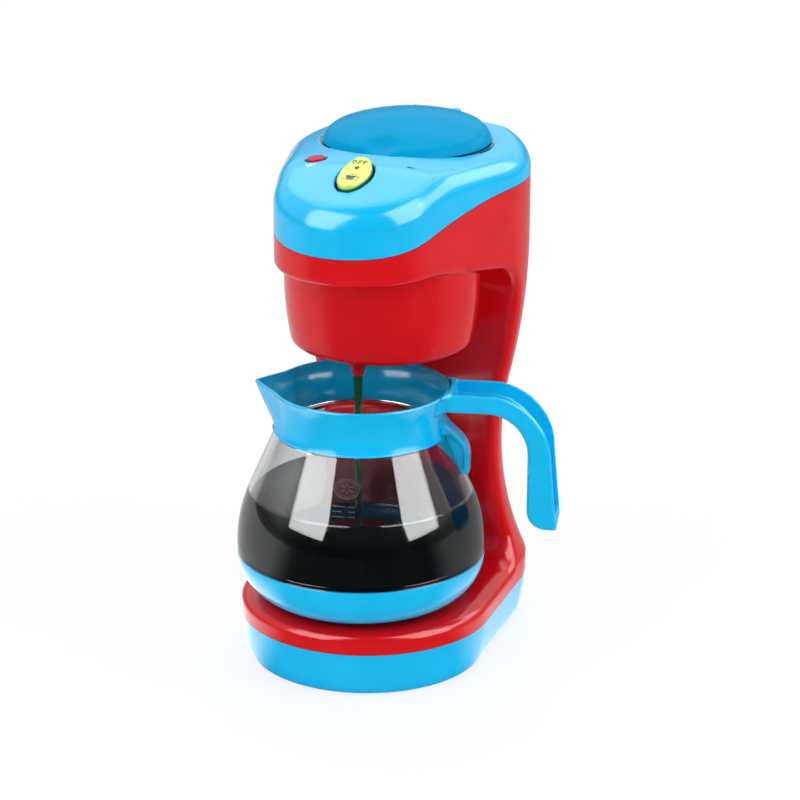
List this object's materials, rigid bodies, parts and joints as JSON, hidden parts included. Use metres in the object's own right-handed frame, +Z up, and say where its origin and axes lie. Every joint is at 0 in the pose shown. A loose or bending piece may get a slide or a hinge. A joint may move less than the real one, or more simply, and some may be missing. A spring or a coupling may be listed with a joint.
{
  "type": "toy coffee maker",
  "caption": "Toy filter coffee maker with a red body, blue base, cover and lid, a lime rocker button and a clear round carafe of play coffee.",
  "frame": {"origin": "on the ground under the carafe's axis", "axes": "+Z up, -Y towards the front where the carafe stands, +X to the machine's left side as seen from behind (the right in a front view)"},
  "size_m": [0.1445, 0.1588, 0.2365],
  "materials": {
    "base_blue": "glossy moulded blue plastic",
    "cover_blue": "glossy moulded light blue plastic",
    "lid_blue": "glossy moulded blue plastic",
    "body_red": "glossy moulded red plastic",
    "lime": "glossy lime plastic with green markings",
    "ruby": "clear ruby plastic",
    "clear_plastic": "clear polystyrene",
    "coffee": "dark play coffee",
    "rubber": "black rubber",
    "steel": "plain steel",
    "brass": "plain brass",
    "hose_white": "soft white hose",
    "pump_white": "matt white plastic",
    "dark_plastic": "matt dark plastic",
    "board_green": "green lacquered board",
    "cell_wrap": "plain wrapped cells"
  },
  "bodies": {
    "machine": {"base_tray": "base_blue", "rubber_feet": "rubber", "body_shell": "body_red", "rear_cover": "body_red", "top_cover": "cover_blue", "lid_pin": "steel", "water_tank": "clear_plastic", "suction_hose": "hose_white", "delivery_hose": "hose_white", "drip_nozzle": "body_red", "pump_housing": "pump_white", "motor": "steel", "rocker_pin": "steel", "switch_module": "dark_plastic", "indicator_lens": "ruby", "led": "ruby", "circuit_board": "board_green", "speaker": "dark_plastic", "battery_box": "dark_plastic", "battery_cells": "cell_wrap", "battery_contacts": "steel", "base_screws": "steel", "rear_screws": "steel", "cover_screws": "steel", "board_screws": "steel"},
    "lid": {"lid": "lid_blue"},
    "rotor": {"impeller": "brass"},
    "rocker": {"rocker_button": "lime"},
    "door": {"battery_door": "body_red", "door_screw": "steel"},
    "carafe": {"carafe_cup": "base_blue", "carafe_globe": "clear_plastic", "carafe_bowl": "clear_plastic", "carafe_collar": "base_blue", "carafe_handle": "base_blue", "coffee": "coffee"}
  },
  "joints": [
    {"name": "carafe_slide", "type": "slide", "parent": "machine", "child": "carafe", "axis": [0, -1, 0], "range_m": [0, 0.2]},
    {"name": "lid_hinge", "type": "hinge", "parent": "machine", "child": "lid", "pos_m": [0, 0.0955, 0.2286], "axis": [-1, 0, 0], "range_deg": [0, 95]},
    {"name": "rocker_tilt", "type": "hinge", "parent": "machine", "child": "rocker", "pos_m": [0, -0.00643, 0.21993], "axis": [1, 0, 0], "range_deg": [-4, 4]},
    {"name": "pump_spin", "type": "hinge", "parent": "machine", "child": "rotor", "pos_m": [0, 0.08, 0.058], "axis": [0, 0, 1], "continuous": true},
    {"name": "door_hinge", "type": "hinge", "parent": "machine", "child": "door", "pos_m": [0, 0.1008, 0.1342], "axis": [-1, 0, 0], "range_deg": [0, 75]}
  ]
}
